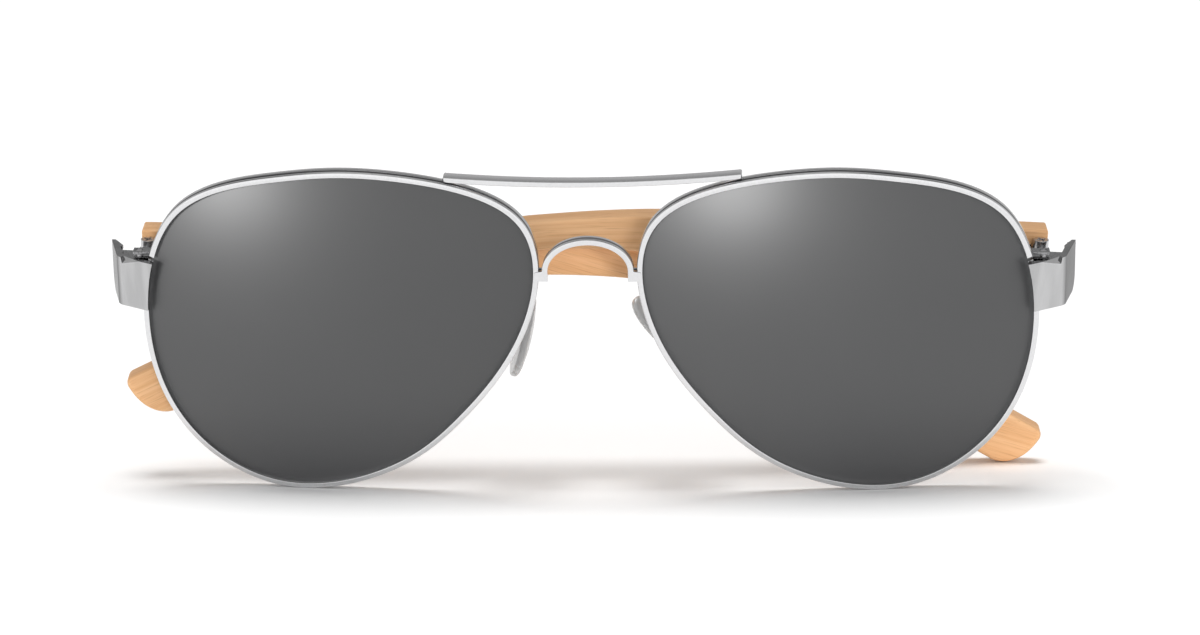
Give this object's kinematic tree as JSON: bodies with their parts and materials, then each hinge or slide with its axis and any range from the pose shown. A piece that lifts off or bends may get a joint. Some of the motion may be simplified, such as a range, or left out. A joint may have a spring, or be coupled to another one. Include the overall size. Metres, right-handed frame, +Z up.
{
  "type": "sunglasses",
  "caption": "Folding sunglasses with thin silver metal rims, dark grey lenses, double bridge and bamboo temples, folded, leaning on the rims and one temple tip.",
  "frame": {"origin": "centre of the bounding box on the floor that the folded part stands on", "axes": "+X to the right as seen from the front, +Y backward away from the viewer, +Z up; left and right in names are as seen from the front"},
  "size_m": [0.1456, 0.0365, 0.0499],
  "materials": {
    "silver_metal": "satin-polished silver plating",
    "screw_steel": "bright turned steel",
    "lens_grey": "dark grey, lightly mirrored",
    "bamboo": "sanded bamboo, clear matt oil",
    "pad_silicone": "clear soft pad"
  },
  "bodies": {
    "front": {"rim_left": "silver_metal", "rim_right": "silver_metal", "lens_left": "lens_grey", "lens_right": "lens_grey", "brow_bar": "silver_metal", "nose_bridge": "silver_metal", "end_piece_left": "silver_metal", "end_piece_right": "silver_metal", "closing_blocks_left": "silver_metal", "closing_blocks_right": "silver_metal", "closing_screw_left": "screw_steel", "closing_screw_right": "screw_steel", "front_hinge_left": "silver_metal", "front_hinge_right": "silver_metal", "hinge_screw_left": "screw_steel", "hinge_screw_right": "screw_steel", "pad_arm_left": "silver_metal", "pad_arm_right": "silver_metal", "pad_box_left": "silver_metal", "pad_box_right": "silver_metal", "pad_screw_left": "screw_steel", "pad_screw_right": "screw_steel"},
    "temple_left": {"temple_hinge_left": "silver_metal", "temple_screws_left": "screw_steel", "temple_left": "bamboo"},
    "temple_right": {"temple_hinge_right": "silver_metal", "temple_screws_right": "screw_steel", "temple_right": "bamboo"},
    "nose_pad_left": {"nose_pad_left": "pad_silicone"},
    "nose_pad_right": {"nose_pad_right": "pad_silicone"}
  },
  "joints": [
    {"name": "temple_left_fold", "type": "hinge", "parent": "front", "child": "temple_left", "pos_m": [-0.06761, 0.00149, 0.03391], "axis": [0.0454, -0.1846, 0.9818], "range_deg": [0, 88]},
    {"name": "temple_right_fold", "type": "hinge", "parent": "front", "child": "temple_right", "pos_m": [0.06761, 0.00149, 0.03391], "axis": [-0.0454, 0.1846, -0.9818], "range_deg": [0, 92.4]},
    {"name": "pad_left_rock", "type": "hinge", "parent": "front", "child": "nose_pad_left", "pos_m": [-0.0118, -0.00579, 0.02379], "axis": [-0.135, 0.967, 0.2161], "range_deg": [-6, 6]},
    {"name": "pad_right_rock", "type": "hinge", "parent": "front", "child": "nose_pad_right", "pos_m": [0.0126, -0.00612, 0.02556], "axis": [0.2818, 0.8213, 0.4961], "range_deg": [-6, 6]}
  ]
}
